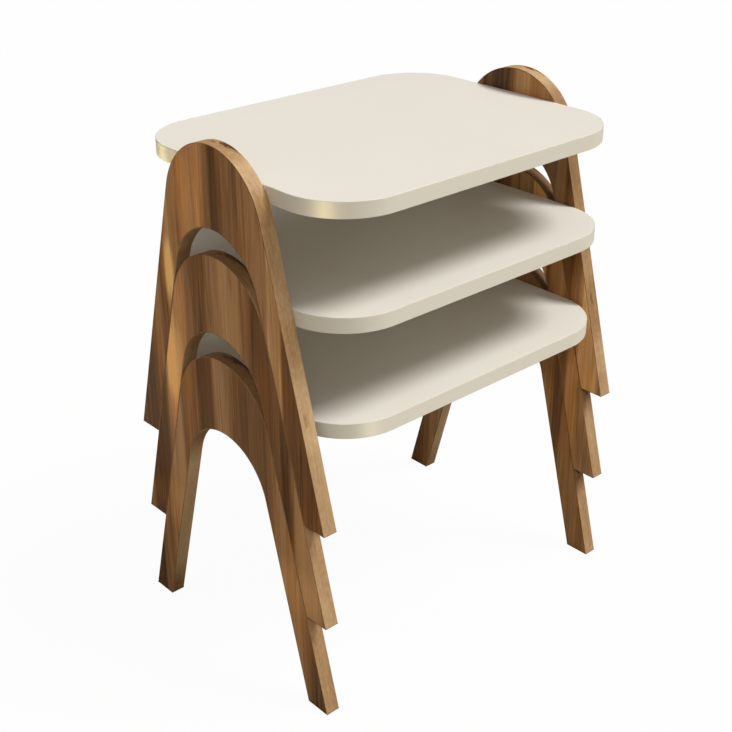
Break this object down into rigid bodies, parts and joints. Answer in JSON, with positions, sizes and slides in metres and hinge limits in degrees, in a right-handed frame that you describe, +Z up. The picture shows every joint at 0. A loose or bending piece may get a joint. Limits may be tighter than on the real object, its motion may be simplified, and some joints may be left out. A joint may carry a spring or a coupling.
{
  "type": "stacking side tables",
  "caption": "Stack of identical low side tables: round-cornered boards held between A-shaped arched end panels, each arch fitting over the panel below.",
  "frame": {"origin": "on the floor, in the middle of the bottom table's feet", "axes": "+X along the boards from the left end panel to the right one, +Y from front to back, +Z up"},
  "size_m": [0.486, 0.355, 0.6373],
  "materials": {
    "board": "satin cream laminate on board",
    "board_edge": "satin cream edge band",
    "walnut_panel": "satin walnut veneer with upright grain",
    "walnut_band": "satin light walnut edge band",
    "zinc_fitting": "zinc-plated die casting and steel",
    "cap": "cream plastic",
    "dowel": "raw beech"
  },
  "bodies": {
    "lower_table": {"lower_top_board": "board", "lower_top_edge_band": "board_edge", "lower_panel_left": "walnut_panel", "lower_panel_right": "walnut_panel", "lower_outer_band_left": "walnut_band", "lower_outer_band_right": "walnut_band", "lower_arch_band_left": "walnut_band", "lower_arch_band_right": "walnut_band", "lower_foot_bands": "walnut_band", "lower_cam_locks": "zinc_fitting", "lower_cam_bolts": "zinc_fitting", "lower_cam_caps": "cap", "lower_dowels": "dowel"},
    "middle_table": {"middle_top_board": "board", "middle_top_edge_band": "board_edge", "middle_panel_left": "walnut_panel", "middle_panel_right": "walnut_panel", "middle_outer_band_left": "walnut_band", "middle_outer_band_right": "walnut_band", "middle_arch_band_left": "walnut_band", "middle_arch_band_right": "walnut_band", "middle_foot_bands": "walnut_band", "middle_cam_locks": "zinc_fitting", "middle_cam_bolts": "zinc_fitting", "middle_cam_caps": "cap", "middle_dowels": "dowel"},
    "upper_table": {"upper_top_board": "board", "upper_top_edge_band": "board_edge", "upper_panel_left": "walnut_panel", "upper_panel_right": "walnut_panel", "upper_outer_band_left": "walnut_band", "upper_outer_band_right": "walnut_band", "upper_arch_band_left": "walnut_band", "upper_arch_band_right": "walnut_band", "upper_foot_bands": "walnut_band", "upper_cam_locks": "zinc_fitting", "upper_cam_bolts": "zinc_fitting", "upper_cam_caps": "cap", "upper_dowels": "dowel"}
  },
  "joints": [
    {"name": "middle_table_lift", "type": "slide", "parent": "lower_table", "child": "middle_table", "axis": [0, 0, 1], "range_m": [0, 0.3]},
    {"name": "upper_table_lift", "type": "slide", "parent": "middle_table", "child": "upper_table", "axis": [0, 0, 1], "range_m": [0, 0.3]}
  ]
}
